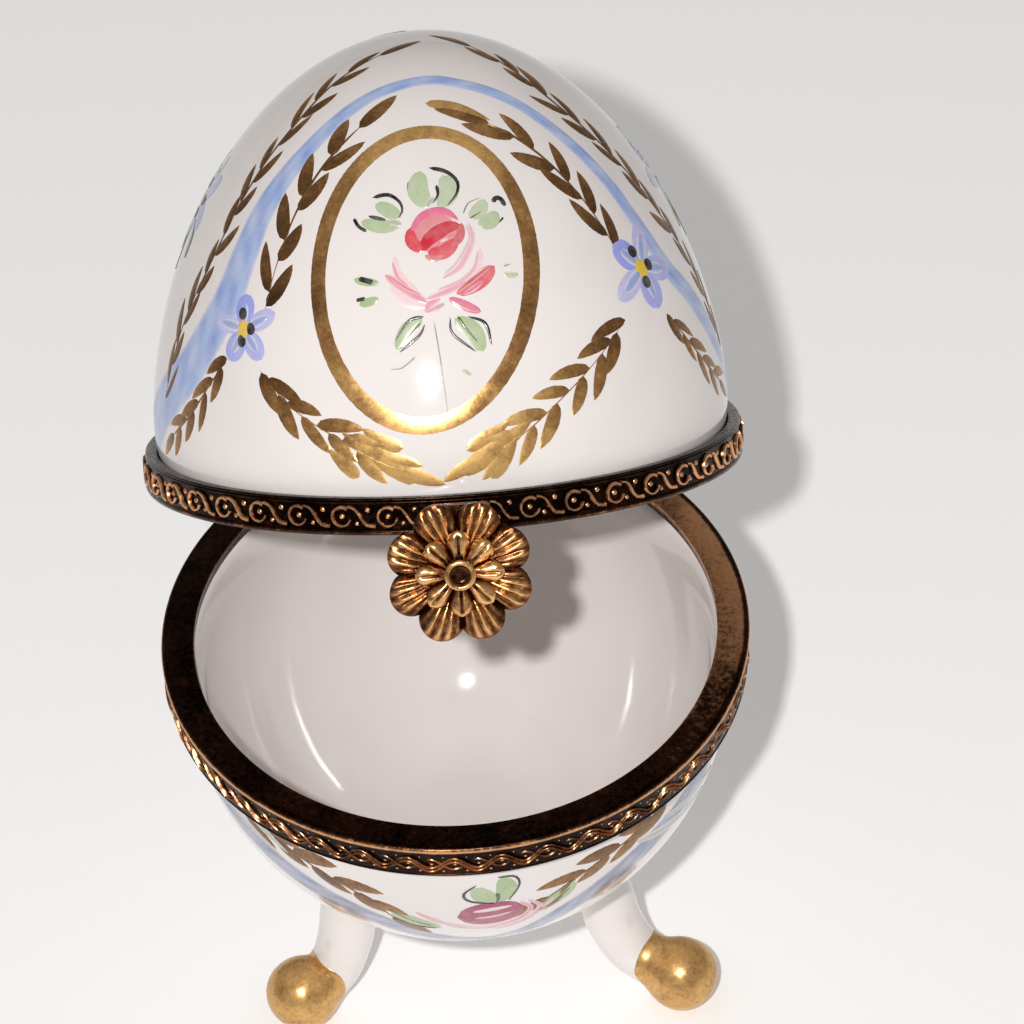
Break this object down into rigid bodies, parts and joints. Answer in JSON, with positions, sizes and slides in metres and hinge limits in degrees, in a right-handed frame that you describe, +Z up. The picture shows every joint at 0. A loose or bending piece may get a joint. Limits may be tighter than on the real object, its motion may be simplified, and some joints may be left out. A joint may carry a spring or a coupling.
{
  "type": "hinged porcelain egg trinket box",
  "caption": "Hand-painted porcelain egg box on ball-toed legs, with gilt-metal mounts, a back hinge and a rosette clasp; the lid stands open.",
  "frame": {"origin": "under the middle of the whole with the lid open as it rests, on the surface that the toes stand on", "axes": "+X to the viewer's right when the clasp faces the viewer, +Y towards the hinge at the back, +Z up; the clasp is at the front, -Y"},
  "size_m": [0.0428, 0.0496, 0.0746],
  "materials": {
    "porcelain": "clear gloss glaze over warm white, hand-painted",
    "mount_brass": "antique, dark in the recesses and rubbed bright on the edges",
    "clasp_brass": "antique gilt, rubbed bright on the raised work",
    "gilding": "burnished gold lustre paint on the toes and the painted work",
    "enamel_colours": "thin hand-painted colours under gloss: pale blue, rose, leaf green and black"
  },
  "bodies": {
    "base": {"footed_bowl": "porcelain", "base_mount": "mount_brass", "hinge_leaf_base": "mount_brass", "hinge_pin": "clasp_brass"},
    "lid": {"lid_shell": "porcelain", "lid_mount": "mount_brass", "hinge_leaf_lid": "mount_brass", "clasp_tongue": "mount_brass", "clasp_rosette": "clasp_brass", "clasp_rivet": "clasp_brass"}
  },
  "joints": [
    {"name": "lid_hinge", "type": "hinge", "parent": "base", "child": "lid", "pos_m": [0, 0.0202, 0.033], "axis": [-1, 0, 0], "range_deg": [-32.7, 57.3]}
  ]
}
